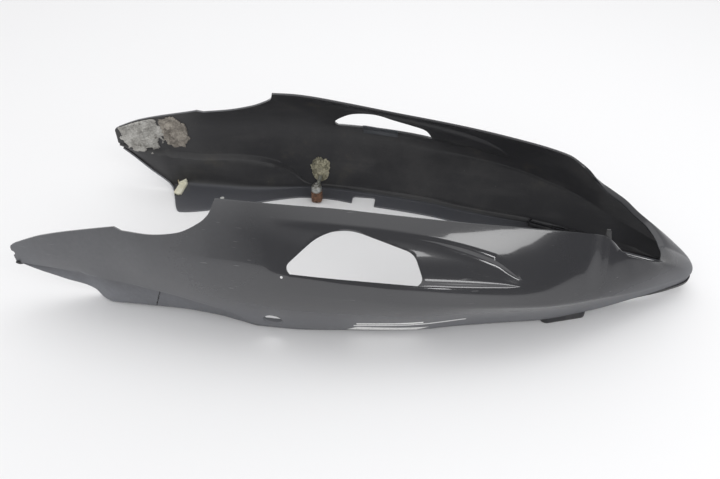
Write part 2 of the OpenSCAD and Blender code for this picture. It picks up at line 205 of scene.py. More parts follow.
# Smooth curve through (place, value) pairs that never overshoots them
def curve(points, at):
    places = np.array([p[0] for p in points], float)
    values = np.array([p[1] for p in points], float)
    rise = np.diff(values) / np.diff(places)
    slope = np.empty(len(points))
    slope[0], slope[-1] = rise[0], rise[-1]
    product = rise[:-1] * rise[1:]
    total = rise[:-1] + rise[1:]
    slope[1:-1] = np.where(product > 0, 2 * product / np.where(total == 0, 1, total), 0)
    at = np.clip(np.asarray(at, float), places[0], places[-1])
    k = np.clip(np.searchsorted(places, at, side="right") - 1, 0, len(rise) - 1)
    length = places[k + 1] - places[k]
    u = (at - places[k]) / length
    return (values[k] * (2 * u**3 - 3 * u**2 + 1) + slope[k] * length * (u**3 - 2 * u**2 + u)
            + values[k + 1] * (3 * u**2 - 2 * u**3) + slope[k + 1] * length * (u**3 - u**2))


# Rails as (place, value) in millimetres. Ahead of the notch the place is an x, and in the fan round the tail
# it is a share from 0 to 1
rails = {
    "shoulderPlan": [(frontX, shell["frontW"]), (cornerX - 20, shell["frontW"] + 6),
                     (cornerX + 50, shell["frontW"] + 19), (peakX, shell["shoulderW"] - 2),
                     (frontX + 402, shell["shoulderW"]), (frontX + 477, shell["shoulderW"] - 2),
                     (frontX + 545, shell["shoulderW"] - 10), (notchX - 119, shell["shoulderW"] - 25),
                     (notchX - 75, shell["shoulderW"] - 37), (notchX - 29, shell["shoulderW"] - 57),
                     (notchX, shell["shoulderW"] - 72)],
    "shoulderRise": [(frontX, shell["shoulderH"] - 4), (cornerX, shell["shoulderH"] + 2),
                     (frontX + 442, shell["shoulderH"]), (frontX + 534, shell["shoulderH"] - 5),
                     (notchX - 111, shell["shoulderH"] - 12), (notchX, shell["shoulderH"] - 27)],
    "crestPlan": [(frontX, shell["crestW"] - 14), (cornerX, shell["crestW"] - 14),
                  (peakX - 40, shell["crestW"] - 4), (peakX + 30, shell["crestW"]),
                  (frontX + 434, shell["crestW"] - 11), (frontX + 554, shell["crestW"] - 21),
                  (notchX - 111, shell["crestW"] - 32), (notchX - 31, shell["crestW"] - 47),
                  (notchX - 10, shell["notchW"] + 3), (notchX, shell["notchW"])],
    "crestRise": [(frontX, shell["peakH"]), (peakX + 20, shell["peakH"]),
                  (frontX + 394, shell["peakH"] - 6), (frontX + 474, shell["peakH"] - 14),
                  (frontX + 554, shell["peakH"] - 22), (notchX - 111, shell["peakH"] - 31),
                  (notchX - 31, shell["peakH"] - 44), (notchX - 10, shell["notchH"] + 7),
                  (notchX, shell["notchH"])],
    "lowerPlan": [(frontX, shell["frontW"]), (frontX + 24, shell["frontW"] - 4),
                  (frontX + 44, shell["frontW"] - 9), (lowCornerX - 10, shell["sillW"] - 25),
                  (lowCornerX, shell["sillW"] - 22), (lowCornerX + 16, shell["sillW"] - 14),
                  (lowCornerX + 40, shell["sillW"] - 12), (frontX + 200, shell["sillW"] - 12),
                  (frontX + 257, shell["sillW"] - 8), (frontX + 290, shell["sillW"] - 4),
                  (frontX + 317, shell["sillW"]), (frontX + 351, shell["sillW"]),
                  (frontX + 435, shell["sillW"] - 8), (frontX + 525, shell["sillW"] - 21),
                  (frontX + 572, shell["sillW"] - 33), (notchX - 117, shell["sillW"] - 45),
                  (notchX - 64, shell["sillW"] - 55), (notchX, shell["sillW"] - 76)],
    "lowerRise": [(frontX, shell["frontLowH"]), (frontX + 14, shell["frontLowH"] * 0.86),
                  (frontX + 34, shell["frontLowH"] * 0.66), (frontX + 54, shell["frontLowH"] * 0.46),
                  (lowCornerX - 20, shell["frontLowH"] * 0.29),
                  (lowCornerX - 10, shell["frontLowH"] * 0.17), (lowCornerX - 4, 3), (lowCornerX, 0),
                  (frontX + 572, 0), (notchX - 64, 3), (notchX, 8)],
    "footRound": [(frontX, shell["wall"] + 1), (lowCornerX, shell["wall"] + 2),
                  (lowCornerX + 16, shell["footR"] - 4), (lowCornerX + 40, shell["footR"]),
                  (frontX + 200, shell["footR"]), (frontX + 257, shell["footR"] - 2),
                  (frontX + 290, shell["footR"] / 2), (frontX + 320, shell["wall"] + 1),
                  (notchX, shell["wall"] + 1)],
    "topTrim": [(frontX, shell["frontTopH"]), (frontX + 50, shell["frontTopH"] + 20),
                (cornerX, shell["cornerH"])],
    "dipTrim": [(cornerX + 10, shell["cornerH"] - 3), (cornerX + 43, shell["cornerH"] - 1),
                (cornerX + 83, shell["cornerH"] + 7), (peakX - 18, shell["cornerH"] + 20),
                (peakX - 6, shell["peakH"] - 14), (peakX, shell["peakH"])],
    "creaseRise": [(frontX, 1), (frontX + 14, 9), (frontX + 34, 21), (frontX + 54, 33),
                   (lowCornerX - 20, 42), (lowCornerX, shell["creaseH"] + 3),
                   (lowCornerX + 40, shell["creaseH"]), (frontX + 194, shell["creaseH"] - 2),
                   (frontX + 224, shell["creaseH"] - 5), (frontX + 254, shell["creaseH"] - 11),
                   (frontX + 284, shell["creaseH"] - 22), (frontX + 299, shell["creaseH"] - 33),
                   (frontX + 314, shell["beadH"] + 2), (frontX + 326, shell["beadH"]),
                   (notchX - 119, shell["beadH"]), (notchX, shell["beadH"] / 2)],
    "creaseTuck": [(frontX, 0.5), (frontX + 40, shell["tuck"]), (frontX + 270, shell["tuck"]),
                   (frontX + 318, 2), (notchX - 119, 2), (notchX, 1)],
    "shoulderFan": [(0, shell["shoulderW"] - 72), (0.17, 84), (0.47, 44), (0.72, 22), (1, 0)],
    "crestFan": [(0, shell["notchW"]), (0.158, shell["notchW"] + 1), (0.262, shell["notchW"] - 4),
                 (0.378, shell["notchW"] - 11), (0.508, shell["notchW"] - 22),
                 (0.675, shell["notchW"] - 34), (0.84, 20), (1, 0)],
    "crestFanRise": [(0, shell["notchH"]), (0.158, shell["notchH"] - 22), (0.262, shell["notchH"] - 30),
                     (0.378, shell["notchH"] - 38), (0.508, shell["notchH"] - 48),
                     (0.675, shell["lampH"] + 9), (1, shell["lampH"])],
    "lowerFan": [(0, shell["sillW"] - 76), (0.25, 55), (0.54, 32), (0.78, 18), (1, 0)],
    "shoulderFanRise": [(0, 62), (0.17, 50), (0.47, 38), (0.72, shell["tipH"] + 3), (1, shell["tipH"])],
    "lowerFanRise": [(0, 8), (0.54, shell["tipLowH"] - 5), (1, shell["tipLowH"])],
    "flangePlan": [(frontX, 4), (lowCornerX - 12, 4),
                   (lowCornerX + 30, shell["flangeW"] + shell["flangeMore"]),
                   (frontX + 164, shell["flangeW"] + shell["flangeMore"] - 8),
                   (frontX + 194, shell["flangeW"] + shell["flangeMore"] / 2 + 4),
                   (frontX + 244, shell["flangeW"] + 12), (frontX + 303, shell["flangeW"] - 2),
                   (frontX + 349, shell["flangeW"] - 4), (frontX + 420, shell["flangeW"]),
                   (notchX - 113, shell["flangeW"]), (notchX, shell["flangeW"] - 10)],
    "flangeFan": [(0, shell["flangeW"] - 10), (0.3, 10), (1, 4)],
    "scoopTop": [(windowX, 0.86), (frontX + 456, 0.86), (frontX + 522, 0.83), (notchX - 184, 0.765),
                 (notchX - 155, 0.68), (notchX - 136, 0.6), (notchX - 119, 0.48), (notchX - 107, 0.4),
                 (notchX, 0.5)],
    "scoopRamp": [(windowX - 25, 0), (windowX + 30, 0.6), (frontX + 442, 1), (notchX - 193, 1),
                  (notchX - 133, 0.6), (notchX - 106, 0)],
    "scoopRows": [(0, 0), (0.1, 0.75), (0.3, 1), (0.7, 1), (0.9, 0.75), (1, 0)],
    "edgeLean": [(frontX + 430, 0), (notchX - 130, 0.4), (notchX, 0.6)],
    "roundPlan": [(frontX, 1.7), (frontX + 500, 1.6), (notchX - 150, 1.1), (notchX - 80, 1), (notchX, 1)],
}
scoopFoot = 0.3


# A station is x, its place along an arm, and f, its share of the way round the tail
def inwardOf(x, f):
    return np.stack([-np.sin(np.pi / 2 * f), -np.cos(np.pi / 2 * f), 0 * f], -1)


def railAt(x, f, ahead, fan):
    return np.where(f == 0, curve(rails[ahead], x), curve(rails[fan], f))


def shoulderAt(x, f):
    return np.stack([np.where(f == 0, x, shell["tailX"] - (shell["tailX"] - notchX) * (1 - f)**2),
                     railAt(x, f, "shoulderPlan", "shoulderFan"),
                     railAt(x, f, "shoulderRise", "shoulderFanRise")], -1)


def crestAt(x, f):
    return np.stack([np.where(f == 0, x, notchX + (lampX - notchX) * np.sin(np.pi / 2 * f)),
                     railAt(x, f, "crestPlan", "crestFan"),
                     railAt(x, f, "crestRise", "crestFanRise")], -1)


def lowerAt(x, f):
    return np.stack([np.where(f == 0, x, underX - (underX - notchX) * (1 - f)**2),
                     railAt(x, f, "lowerPlan", "lowerFan"),
                     railAt(x, f, "lowerRise", "lowerFanRise")], -1)


def topZ(x):
    crest = curve(rails["crestRise"], x)
    return np.where(x <= cornerX, curve(rails["topTrim"], x),
                    np.where(x <= cornerX + 10, shell["cornerH"] - 3 * (x - cornerX) / 10,
                             np.where(x < peakX, curve(rails["dipTrim"], x), crest)))


def trimAt(x, f):
    low = curve(rails["shoulderRise"], x)
    return np.where(f == 0, (topZ(x) - low) / (curve(rails["crestRise"], x) - low), 1.0)


# Points at a share of the way from the shoulder up to the crest, sunk into the panel
def upperPoint(x, f, share, sink):
    low, top, inward = shoulderAt(x, f), crestAt(x, f), inwardOf(x, f)
    out = top - low
    rise = out[:, 2].copy()
    out[:, 2] = 0
    straight = np.where(f == 0, curve(rails["edgeLean"], x), 0.6 * (1 - f))
    slant = (straight + 2 * (1 - straight) * share) * np.linalg.norm(out, axis=1)
    away = np.stack([inward[:, 0] * rise, inward[:, 1] * rise, -slant], -1) / np.hypot(rise, slant)[:, None]
    reach = straight * share + (1 - straight) * share * share
    point = low + out * reach[:, None] + away * np.asarray(sink)[:, None]
    point[:, 2] += rise * share
    return point


# Points at a share of the way from the shoulder down to the lower edge
def sidePoint(x, f, share, sink):
    high, low, inward = shoulderAt(x, f), lowerAt(x, f), inwardOf(x, f)
    power = np.where(f == 0, curve(rails["roundPlan"], x), 1.0)
    point = high.copy()
    point[:, :2] += (low - high)[:, :2] * (share ** power)[:, None]
    point[:, 2] += (low - high)[:, 2] * share
    return point + inward * np.asarray(sink)[:, None]


# The lip grows over the first part of the fan
def lipShare(f):
    return np.minimum(1, 5 * f)


# Rows of a section from the lip at the top edge, down the panel and in along the flange
rowSteps = {"lip": 3, "brow": 4, "scoop": 18, "shoulder": 8, "side": 13,
            "tuck": 4, "strip": 4, "foot": 5, "flange": 7}
lipDrop, browGap, tuckReach = 0.3, 0.04, 0.12


def sectionRows(x, f):
    steps = rowSteps
    share, trim = lipShare(f), trimAt(x, f)
    inward, zero = inwardOf(x, f), np.zeros_like(x)
    brow = curve(rails["scoopTop"], x)
    depth = np.where(f == 0, shell["scoopD"] * curve(rails["scoopRamp"], x), 0)
    edge = upperPoint(x, f, trim, zero)
    lip = edge + inward * (shell["lipW"] * share)[:, None]
    lip[:, 2] -= lipDrop * shell["lipW"] * share
    browTop = 1 - browGap * (1 - share)
    below = upperPoint(x, f, trim * browTop, zero)
    rows = [lip + (below - lip) * k / steps["lip"] for k in range(steps["lip"])]
    for k in range(steps["brow"]):
        rows.append(upperPoint(x, f, trim * (browTop + (brow - browTop) * k / steps["brow"]), zero))
    for k in range(steps["scoop"]):
        share = 1 - k / steps["scoop"]
        sink = depth * curve(rails["scoopRows"], share)
        rows.append(upperPoint(x, f, trim * (scoopFoot + (brow - scoopFoot) * share), sink))
    for k in range(steps["shoulder"]):
        rows.append(upperPoint(x, f, trim * scoopFoot * (1 - k / steps["shoulder"]), zero))
    high, low = shoulderAt(x, f), lowerAt(x, f)
    bead = np.where(f == 0, curve(rails["creaseRise"], x), shell["beadH"] / 2 * (1 - 0.7 * f))
    crease = 1 - bead / (high[:, 2] - low[:, 2])
    tuck = np.where(f == 0, curve(rails["creaseTuck"], x), 1 - 0.6 * f)
    for k in range(steps["side"]):
        rows.append(sidePoint(x, f, crease * k / steps["side"], zero))
    tucked = sidePoint(x, f, crease + (1 - crease) * tuckReach, tuck)
    creased = sidePoint(x, f, crease, zero)
    for k in range(steps["tuck"]):
        rows.append(creased + (tucked - creased) * k / steps["tuck"])
    radius = np.where(f == 0, curve(rails["footRound"], x), shell["wall"] + 1)
    footed = low.copy()
    footed[:, 2] += radius
    for k in range(steps["strip"]):
        rows.append(tucked + (footed - tucked) * k / steps["strip"])
    for k in range(steps["foot"]):
        turn = math.pi / 2 * k / steps["foot"]
        point = low + inward * (radius * (1 - math.cos(turn)))[:, None]
        point[:, 2] += radius * (1 - math.sin(turn))
        rows.append(point)
    wide = railAt(x, f, "flangePlan", "flangeFan")
    width = np.maximum(wide - radius, 2)
    for k in range(steps["flange"] + 1):
        rows.append(low + inward * (radius + width * k / steps["flange"])[:, None])
    return np.stack(rows, 1)


stationStep, fanCount = 4.0, 40


def stationList():
    marks = [frontX, frontX + 16, cornerX, cornerX + 10, peakX - 18, peakX, notchX - 12, notchX]
    places = []
    for start, end in zip(marks, marks[1:]):
        count = max(8 if end - start < 20 else 2, round((end - start) / stationStep))
        places += [start + (end - start) * k / count for k in range(count)]
    x = np.array(places + [notchX] * (fanCount + 1))
    f = np.array([0.0] * (len(places) + 1) + [k / fanCount for k in range(1, fanCount + 1)])
    return x, f


stationX, stationF = stationList()
half = sectionRows(stationX, stationF)
flipped = half * np.array([1, -1, 1])
grid = np.concatenate([flipped, half[-2::-1]], 0)      # from the -Y front end round the tail to the +Y one
print("shell grid", grid.shape)


# Normals of the grid, longer where its rows meet at an angle, so that the wall keeps its thickness
def gridNormals(points):
    along = np.gradient(points, axis=0)
    before = np.empty_like(points)
    before[:, 1:] = points[:, 1:] - points[:, :-1]
    before[:, 0] = before[:, 1]
    after = np.empty_like(points)
    after[:, :-1] = before[:, 1:]
    after[:, -1] = after[:, -2]
    first, second = np.cross(along, before), np.cross(along, after)
    first /= np.linalg.norm(first, axis=2, keepdims=True) + 1e-12
    second /= np.linalg.norm(second, axis=2, keepdims=True) + 1e-12
    share = np.maximum(1 + (first * second).sum(2, keepdims=True), 0.4)
    return (first + second) / share


# Signed distance in mm to a convex outline, negative inside it
def convexField(px, py, outline):
    field = np.full(px.shape, -1e9)
    for (ax, ay), (bx, by) in zip(outline, outline[1:] + outline[:1]):
        length = math.hypot(bx - ax, by - ay)
        if length > 1e-9:
            field = np.maximum(field, ((px - ax) * (by - ay) - (py - ay) * (bx - ax)) / length)
    return field


# Counter-clockwise outline round a set of discs
def discHull(discs, steps=72):
    turns = [k * math.tau / steps for k in range(steps)]
    points = sorted({(round(x + r * math.cos(turn), 6), round(y + r * math.sin(turn), 6))
                     for x, y, r in discs for turn in turns})

    def chain(points):
        kept = []
        for p in points:
            while len(kept) > 1 and ((kept[-1][0] - kept[-2][0]) * (p[1] - kept[-2][1])
                                     - (kept[-1][1] - kept[-2][1]) * (p[0] - kept[-2][0])) <= 0:
                kept.pop()
            kept.append(p)
        return kept[:-1]
    return chain(points) + chain(points[::-1])


def oneStation(x):
    return np.array([float(x)]), np.array([0.0])


windowMid, zero = oneStation(windowX + shell["windowL"] / 2)
shoulderMid, crestMid = curve(rails["shoulderRise"], windowMid), curve(rails["crestRise"], windowMid)
windowFoot = upperPoint(windowMid, zero, (shell["windowH"] - shoulderMid) / (crestMid - shoulderMid), zero)[0]
windowCrest = crestAt(windowMid, zero)[0]
windowLean = math.atan2(windowFoot[1] - windowCrest[1], windowCrest[2] - windowFoot[2])


# Discs as (x, height, radius) whose hull is the window's outline
def windowDiscs():
    corner, length, up = shell["windowR"], shell["windowL"], shell["windowUp"]
    front, brow, rear = shell["windowFrontR"], shell["windowBrowR"], shell["windowRearR"]
    return [(corner, corner, corner), (length - shell["windowFrontAhead"], up - front - 1.5, front),
            (length - shell["windowBrowAhead"], up - brow, brow), (length - rear - 6, rear, rear),
            (length - corner, corner, corner)]


holeX, zero = oneStation(sideHoleX)
holeLow, holeHigh = curve(rails["lowerRise"], holeX), curve(rails["shoulderRise"], holeX)
holeShare = (holeHigh - shell["sideHoleH"]) / (holeHigh - holeLow)
holeCentre = sidePoint(holeX, zero, holeShare, zero)[0]
holeAlong = sidePoint(holeX + 10, zero, holeShare, zero) - sidePoint(holeX - 10, zero, holeShare, zero)
holeDown = sidePoint(holeX, zero, holeShare + 0.1, zero) - sidePoint(holeX, zero, holeShare - 0.1, zero)
holeAxis = np.cross(holeAlong[0], holeDown[0])
holeAxis = holeAxis / np.linalg.norm(holeAxis)

notchEdge = float(curve(rails["lowerPlan"], flangeNotchX)) - shell["flangeW"]
slotX = notchX - shell["tailSlotAhead"]
slotSides = curve(rails["lowerPlan"], [slotX - 10, slotX, slotX + 10])
slotY = slotSides[1] - shell["tailSlotW"] / 2
slotTurn = math.atan2(slotSides[2] - slotSides[0], 20)
farOff = 99      # mm, for the rows that an outline doesn't reach


def windowField(x, side, z):
    up = (z - windowFoot[2]) * math.cos(windowLean) - (side - windowFoot[1]) * math.sin(windowLean)
    hull = convexField(x - windowX, up, discHull(windowDiscs()))
    return np.maximum.reduce([hull, -up, up - shell["windowUp"]])


def holeField(x, side, z):
    away = np.stack([x, side, z], -1) - holeCentre
    across = away - (away @ holeAxis)[..., None] * holeAxis
    return np.linalg.norm(across, axis=-1) - shell["sideHoleR"]


def slotField(x, side, z):
    cosine, sine = math.cos(slotTurn), math.sin(slotTurn)
    along = (x - slotX) * cosine + (side - slotY) * sine
    across = -(x - slotX) * sine + (side - slotY) * cosine
    straight = (shell["tailSlotL"] - shell["tailSlotW"]) / 2
    slot = np.hypot(np.maximum(np.abs(along) - straight, 0), across) - shell["tailSlotW"] / 2
    return np.maximum(slot, z - shell["tailSlotH"])


# Rounded corners at the front end of an arm
def noseFields(x, z):
    radius, fields = shell["noseR"], []
    centreX = frontX + radius
    for centreZ, way in ((shell["frontTopH"] - radius + 2, 1), (shell["frontLowH"] + radius - 3, -1)):
        outside = radius - np.hypot(x - centreX, z - centreZ)
        fields.append(np.maximum.reduce([x - centreX, (centreZ - z) * way, outside]))
    return fields


# What is cut from the grid: each field is below zero in its opening
def openingFields(points):
    x, y, z = points[..., 0], points[..., 1], points[..., 2]
    side = np.abs(y)
    row = np.arange(points.shape[1])[None, :] + 0 * x
    upper = row <= sum(rowSteps[part] for part in ("lip", "brow", "scoop", "shoulder"))
    flange = row >= points.shape[1] - rowSteps["flange"] - rowSteps["foot"] - 1
    notch = np.maximum.reduce([flangeNotchX - x, x - flangeNotchX - shell["flangeNotchL"],
                               y - notchEdge - shell["flangeNotchD"]])
    besideHole = np.maximum(np.abs(x - sideHoleX) - shell["nearNotchL"] / 2, side - shell["nearNotchEdge"])
    biteZ = (shell["frontTopH"] + shell["frontLowH"]) / 2 + 2
    bite = np.hypot(x - frontX + shell["biteR"] * 0.2, z - biteZ) - shell["biteR"]
    openings = [(upper, windowField(x, side, z)), (~upper & ~flange, holeField(x, side, z)),
                (flange & (y > 0), notch), (flange & (y < 0), besideHole),
                (~upper & (z < shell["tailSlotH"] + 4), slotField(x, side, z)), (y < 0, bite)]
    return [np.where(reached, field, farOff) for reached, field in openings] + noseFields(x, z)


# Moves the grid's own points onto an outline, so that its edge is clean
def snapTo(points, normals, field):
    stations, rows = field.shape
    nearest = np.full(field.shape, np.inf)
    target, targetNormal = points.copy(), normals.copy()
    for di, dj in ((1, 0), (0, 1)):
        crossing = field[:stations - di, :rows - dj] * field[di:, dj:] < 0
        for i, j in zip(*np.nonzero(crossing)):
            i2, j2 = i + di, j + dj
            share = field[i, j] / (field[i, j] - field[i2, j2])
            place = points[i, j] * (1 - share) + points[i2, j2] * share
            facing = normals[i, j] * (1 - share) + normals[i2, j2] * share
            vertex = (i, j) if share < 0.5 else (i2, j2)
            reach = np.linalg.norm(place - points[vertex])
            if reach < nearest[vertex]:
                nearest[vertex] = reach
                target[vertex], targetNormal[vertex] = place, facing
    field[np.isfinite(nearest)] = 0
    return target, targetNormal, field


# Faces outside every opening; a face that an outline crosses at two corners keeps the triangle outside it
def cutFaces(fields):
    stations, rows = fields[0].shape
    faces = []
    for i in range(stations - 1):
        for j in range(rows - 1):
            corners = [(i, j), (i, j + 1), (i + 1, j + 1), (i + 1, j)]
            kept = [corners]
            for field in fields:
                values = [field[corner] for corner in corners]
                if min(values) >= 0:
                    continue
                if max(values) <= 0:
                    kept = []
                    break
                k = next(k for k in range(4) if values[k] > 0)
                kept = [[corners[k - 1], corners[k], corners[(k + 1) % 4]]]
            faces += [[a * rows + b for a, b in face] for face in kept]
    return faces


# Closed wall from two skins with the same faces and the rim between them, and the kind of each face
def wallMesh(name, faces, first, second):
    used = sorted({v for face in faces for v in face})
    index = {v: k for k, v in enumerate(used)}
    count = len(used)
    firstFaces = [[index[v] for v in face] for face in faces]
    secondFaces = [[v + count for v in reversed(face)] for face in firstFaces]
    edges = {(a, b) for face in firstFaces for a, b in zip(face, face[1:] + face[:1])}
    rim = [[b, a, a + count, b + count] for a, b in edges if (b, a) not in edges]
    verts = np.concatenate([first.reshape(-1, 3)[used], second.reshape(-1, 3)[used]]) * mm
    mesh = bpy.data.meshes.new(name)
    mesh.from_pydata(verts.tolist(), [], firstFaces + secondFaces + rim)
    mesh.update()
    return mesh, [0] * len(firstFaces) + [1] * len(secondFaces) + [0] * len(rim)


def placed(name, mesh):
    piece = bpy.data.objects.new(name, mesh)
    bpy.context.collection.objects.link(piece)
    return piece


# Tells the frame what a piece rides on, and hides the node that it stands for, if any
def declared(piece, node=None):
    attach(piece, "root")
    if node:
        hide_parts(node)
    return piece


# Applies the modifiers of a piece and leaves a plain mesh
def settle(piece):
    seen = piece.evaluated_get(bpy.context.evaluated_depsgraph_get())
    mesh = bpy.data.meshes.new_from_object(seen)
    piece.modifiers.clear()
    piece.data = mesh
    return piece


def smooth(piece):
    piece.data.polygons.foreach_set("use_smooth", [True] * len(piece.data.polygons))
    return piece


def bevelled(piece, width, angle):
    bevel = piece.modifiers.new("bevel", "BEVEL")
    bevel.width, bevel.segments = width * mm, 2
    bevel.limit_method, bevel.angle_limit = "ANGLE", math.radians(angle)
    return smooth(settle(piece))


normals = gridNormals(grid)
fields = openingFields(grid)
for k, field in enumerate(fields):
    grid, normals, fields[k] = snapTo(grid, normals, field)
skin, skinKinds = wallMesh("tailShell", cutFaces(fields), grid, grid + shell["wall"] * normals)
tailShell = placed("tail_shell_skin", skin)
print("shell made", len(skin.polygons), "faces")

# Gloss black outside, in metres. A thin stripe on the -Y rocker is its height at x = 0, half its width, and
# where it starts and ends
gloss = {
    "black": (0.016, 0.016, 0.019), "hazeAndPaintedReflection": (0.20, 0.205, 0.222), "dirt": (0.10, 0.085, 0.06),
    "scratch": (0.5, 0.5, 0.5), "chip": (0.7, 0.7, 0.7), "chipPlace": (-0.0815, 0.1135), "chipR": 0.00155,
    "stripe": (0.78, 0.78, 0.77), "stripeRise": 0.11,
    "stripes": ((0.0262, 0.0016, 0.0, 0.138), (0.0325, 0.0022, 0.004, 0.086)),
    "crack": (0.004, 0.004, 0.004), "crackX": -0.2565, "crackZ": 0.038, "crackLean": 0.42, "crackW": 0.0007,
}


# Thick leaning stripe and the thin ones above it, plain and a little worn
def stripesOn(tree, coords, x, z):
    lean = x - z * 1.2
    painted = z.more(0.0095) * z.less(0.0215) * lean.more(-0.022) * lean.less(0.068)
    for height, halfWidth, start, end in gloss["stripes"]:
        middle = x * gloss["stripeRise"] + height
        painted = painted + (z - middle).size().less(halfWidth) * x.more(start) * x.less(end)
    worn = 1 - noiseField(tree, coords, 420, 3, 0.7).step(0.60, 0.66) * 0.8
    return painted.more(0.5) * worn


# Thin crack across the strip below the crease
def crackOn(tree, coords, x, z):
    wobble = (noiseField(tree, coords, 260, 2) - 0.5) * 0.004
    across = x - gloss["crackX"] - (z - gloss["crackZ"]) * gloss["crackLean"] + wobble
    return across.size().less(gloss["crackW"]) * z.more(0.006) * z.less(0.047) * x.less(-0.2)


# Dust and haze grow towards the front and the lower edge, and the coat wears thin towards the tail. Towards
# the lower edge the haze grey is also a painted reflection of the pale floor on the rocker
def makeGloss():
    material, tree, shader, coords = newMaterial("black gloss", {
        "Coat Weight": 0.8, "Coat Roughness": 0.05, "Coat IOR": 1.75, "IOR": 1.45, "Specular IOR Level": 0.4})
    x, y, z = split(tree, coords)
    clouds = noiseField(tree, coords, 9, 5, 0.6)
    fine = noiseField(tree, coords, 160, 3, 0.7)
    front = (x * -1).step(0.06, 0.44)
    low = (z * -1).step(-0.078, -0.02)
    # Haze grey mixed into the black: haze towards the front, and towards the lower edge partly painted
    # reflection of the floor
    hazeAndPaintedReflection = (front * 0.46 + low * 0.62 + 0.05) * (clouds * 1.1 + 0.35) * (fine * 0.5 + 0.72)
    colour = mixColours(tree, hazeAndPaintedReflection, gloss["black"], gloss["hazeAndPaintedReflection"])
    dirt = noiseField(tree, coords, 22, 6, 0.7).step(0.62, 0.74) * low * 0.5
    colour = mixColours(tree, dirt, colour, gloss["dirt"])
    drawn = drawnOut(tree, coords, (14, 40, 260), 0.35)
    scratch = noiseField(tree, drawn, 3.2, 2, 0.5).step(0.70, 0.76)
    scratch = scratch * noiseField(tree, coords, 12, 2).step(0.5, 0.62)
    colour = mixColours(tree, scratch * 0.22, colour, gloss["scratch"])
    near = y.less(-0.08)
    stripes = stripesOn(tree, coords, x, z) * near
    colour = mixColours(tree, stripes, colour, gloss["stripe"])
    crack = crackOn(tree, coords, x, z) * near
    colour = mixColours(tree, crack, colour, gloss["crack"])
    chip = spotAt(x, z, gloss["chipPlace"], gloss["chipR"]) * near
    colour = mixColours(tree, chip, colour, gloss["chip"])
    rough = hazeAndPaintedReflection * 0.75 + 0.14 + stripes * 0.25 + scratch * 0.2
    coat = (1 - hazeAndPaintedReflection * 1.3 - stripes * 0.6) * (0.85 - x.step(0.14, 0.40) * 0.75)
    coat = coat.maths("MAXIMUM", coat, 0.05)
    height = fine * 0.15 + clouds - crack * 3 - scratch * 0.3
    wire(tree, shader, {"Base Color": colour, "Roughness": rough, "Coat Weight": coat,
                        "Normal": bumpOf(tree, height, 0.06, 0.002)})
    return material


# Satin inside with dust, brown smears, pale specks, a paler flange and a chip on it
inside = {
    "plastic": (0.029, 0.029, 0.032), "dust": (0.105, 0.102, 0.099), "smear": (0.07, 0.063, 0.047),
    "flange": (0.085, 0.088, 0.10), "speck": (0.30, 0.29, 0.27),
    "chip": (0.55, 0.55, 0.53), "chipPlace": (-0.260, 0.109), "chipR": 0.00346,
}


def makeInside():
    material, tree, shader, coords = newMaterial("black inside", {"Specular IOR Level": 0.45})
    x, y, z = split(tree, coords)
    clouds = noiseField(tree, coords, 7, 6, 0.65)
    fine = noiseField(tree, coords, 210, 4, 0.75)
    wiped = noiseField(tree, drawnOut(tree, coords, (5, 20, 34), -0.2), 1.6, 5, 0.6)
    front = (x * -1).step(0.14, 0.40)
    dust = clouds.step(0.42, 0.74) * 0.26 + wiped.step(0.5, 0.75) * 0.14
    dust = dust + front * 0.14 + fine.step(0.62, 0.75) * 0.10
    colour = mixColours(tree, dust, inside["plastic"], inside["dust"])
    smear = noiseField(tree, coords, 14, 5, 0.7).step(0.56, 0.72) * 0.45
    colour = mixColours(tree, smear, colour, inside["smear"])
    flat = (z * -1).step(-0.0075, -0.004)
    colour = mixColours(tree, flat * 0.75, colour, inside["flange"])
    specks = noiseField(tree, coords, 700, 1).step(0.76, 0.80) * 0.5
    colour = mixColours(tree, specks, colour, inside["speck"])
    chip = spotAt(x, y, inside["chipPlace"], inside["chipR"])
    colour = mixColours(tree, chip * flat, colour, inside["chip"])
    wire(tree, shader, {"Base Color": colour, "Roughness": dust * 0.5 + wiped * 0.18 + 0.27,
                        "Normal": bumpOf(tree, fine * 0.4 + clouds, 0.12, 0.0015)})
    return material


skin.materials.append(makeGloss())
skin.materials.append(makeInside())
skin.polygons.foreach_set("material_index", skinKinds)
declared(bevelled(tailShell, 0.7, 48), "tail_shell")
print("shell finished")


# Finer copy of a part of the +Y side's inner skin, as points and normals, times as fine both ways
def innerPatch(firstStation, lastStation, firstRow, lastRow, times):
    stations = grid.shape[0] - 1 - np.arange(firstStation, lastStation + 1)
    facing = normals[stations][:, firstRow:lastRow + 1]
    points = grid[stations][:, firstRow:lastRow + 1] + shell["wall"] * facing

    def finer(field, axis):
        count = field.shape[axis]
        at = np.linspace(0, count - 1, (count - 1) * times + 1)
        k = np.minimum(at.astype(int), count - 2)
        share = (at - k).reshape([-1 if i == axis else 1 for i in range(3)])
        return np.take(field, k, axis) * (1 - share) + np.take(field, k + 1, axis) * share
    points, facing = finer(finer(points, 0), 1), finer(finer(facing, 0), 1)
    return points, facing / np.linalg.norm(facing, axis=2, keepdims=True)


def stationAt(x):
    return int(np.searchsorted(stationX[:np.argmax(stationF > 0)], x))


# Layer on a patch, as thick as heights says. It ends where they aren't above zero, and starts root deep in
# the wall
def layerPiece(name, points, facing, heights, root, material, node):
    rows, keep = heights.shape[1], heights > 0
    faces = [[i * rows + j, i * rows + rows + j, i * rows + rows + j + 1, i * rows + j + 1]
             for i in range(heights.shape[0] - 1) for j in range(rows - 1) if keep[i:i + 2, j:j + 2].all()]
    low = points - np.broadcast_to(root, heights.shape)[..., None] * facing
    mesh = wallMesh(name, faces, low, points + heights[..., None] * facing)[0]
    mesh.materials.append(material)
    return declared(smooth(placed(name, mesh)), node)


